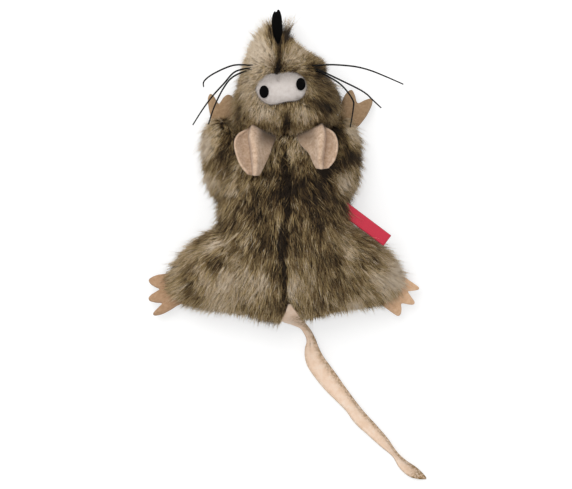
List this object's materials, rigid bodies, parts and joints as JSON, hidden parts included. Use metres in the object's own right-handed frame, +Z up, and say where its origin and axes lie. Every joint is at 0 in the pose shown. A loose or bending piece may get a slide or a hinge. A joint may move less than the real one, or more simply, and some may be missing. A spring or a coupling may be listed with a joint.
{
  "type": "plush mouse cat toy",
  "caption": "Flat splayed plush mouse lying on its belly, with felt ears, paws and eye patch, thread whiskers, a suede strip tail and a bare side label.",
  "frame": {"origin": "middle of the whole toy's footprint, at the level of the surface it lies on", "axes": "+X to the right as seen from above with the nose up, +Y from the tail towards the nose, +Z up"},
  "size_m": [0.1718, 0.2822, 0.0508],
  "materials": {
    "fur_plush": "mottled tan, cream and dark brown faux fur with a 10 mm pile",
    "felt_beige": "pinkish beige wool felt",
    "felt_white": "white wool felt, lightly padded",
    "felt_black": "black wool felt",
    "suede": "light tan suede with a fine nap and darker cut edges",
    "ribbon_red": "crimson woven ribbon, bare",
    "whisker_thread": "stiff waxed black thread",
    "fibre_fill": "white polyester fibre filling"
  },
  "bodies": {
    "body": {"body": "fur_plush", "body_stuffing": "fibre_fill"},
    "head": {"head": "fur_plush", "head_stuffing": "fibre_fill", "eye_patch": "felt_white", "pupil_left": "felt_black", "pupil_right": "felt_black", "nose": "felt_black", "whisker_left_upper": "whisker_thread", "whisker_left_middle": "whisker_thread", "whisker_left_lower": "whisker_thread", "whisker_right_upper": "whisker_thread", "whisker_right_middle": "whisker_thread", "whisker_right_lower": "whisker_thread"},
    "arm_left": {"arm_left": "fur_plush"},
    "arm_right": {"arm_right": "fur_plush"},
    "leg_left": {"leg_left": "fur_plush"},
    "leg_right": {"leg_right": "fur_plush"},
    "front_paw_left": {"front_paw_left": "felt_beige"},
    "front_paw_right": {"front_paw_right": "felt_beige"},
    "hind_paw_left": {"hind_paw_left": "felt_beige"},
    "hind_paw_right": {"hind_paw_right": "felt_beige"},
    "ear_left": {"ear_left": "felt_beige"},
    "ear_right": {"ear_right": "felt_beige"},
    "tail": {"tail": "suede"},
    "side_label": {"side_label": "ribbon_red"}
  },
  "joints": [
    {"name": "neck_nod", "type": "hinge", "parent": "body", "child": "head", "pos_m": [-0.00066, 0.07127, 0.0168], "axis": [1, 0, 0], "range_deg": [-15, 15]},
    {"name": "arm_left_lift", "type": "hinge", "parent": "body", "child": "arm_left", "pos_m": [-0.03246, 0.03209, 0.0098], "axis": [0.9778, 0.2096, 0], "range_deg": [-8, 15]},
    {"name": "arm_right_lift", "type": "hinge", "parent": "body", "child": "arm_right", "pos_m": [0.02637, 0.0321, 0.0098], "axis": [0.9839, -0.1788, 0], "range_deg": [-8, 15]},
    {"name": "leg_left_lift", "type": "hinge", "parent": "body", "child": "leg_left", "pos_m": [-0.03277, -0.01046, 0.0148], "axis": [-0.3616, 0.9323, 0], "range_deg": [-10, 18]},
    {"name": "leg_right_lift", "type": "hinge", "parent": "body", "child": "leg_right", "pos_m": [0.03145, -0.01046, 0.0148], "axis": [-0.3616, -0.9323, 0], "range_deg": [-10, 18]},
    {"name": "front_paw_left_bend", "type": "hinge", "parent": "arm_left", "child": "front_paw_left", "pos_m": [-0.04192, 0.0762, 0.0092], "axis": [0.9778, 0.2096, 0], "range_deg": [-20, 20]},
    {"name": "front_paw_right_bend", "type": "hinge", "parent": "arm_right", "child": "front_paw_right", "pos_m": [0.03444, 0.0765, 0.0092], "axis": [0.9839, -0.1788, 0], "range_deg": [-20, 20]},
    {"name": "hind_paw_left_bend", "type": "hinge", "parent": "leg_left", "child": "hind_paw_left", "pos_m": [-0.07203, -0.02629, 0.01004], "axis": [-0.3156, 0.9489, 0], "range_deg": [-25, 25]},
    {"name": "hind_paw_right_bend", "type": "hinge", "parent": "leg_right", "child": "hind_paw_right", "pos_m": [0.07071, -0.02629, 0.01004], "axis": [-0.5878, -0.809, 0], "range_deg": [-25, 25]},
    {"name": "ear_left_fold", "type": "hinge", "parent": "head", "child": "ear_left", "pos_m": [-0.01435, 0.06976, 0.0308], "axis": [-0.9164, 0.4004, 0], "range_deg": [-10, 20]},
    {"name": "ear_right_fold", "type": "hinge", "parent": "head", "child": "ear_right", "pos_m": [0.01486, 0.07003, 0.0308], "axis": [-0.9239, -0.3827, 0], "range_deg": [-10, 20]},
    {"name": "tail_swing", "type": "hinge", "parent": "body", "child": "tail", "pos_m": [0.00207, -0.04033, 0.02], "axis": [0, 0, 1], "range_deg": [-20, 20]},
    {"name": "label_flap", "type": "hinge", "parent": "body", "child": "side_label", "pos_m": [0.03132, 0.02507, 0.0208], "axis": [-0.6004, -0.7997, 0], "range_deg": [-8, 25]}
  ]
}
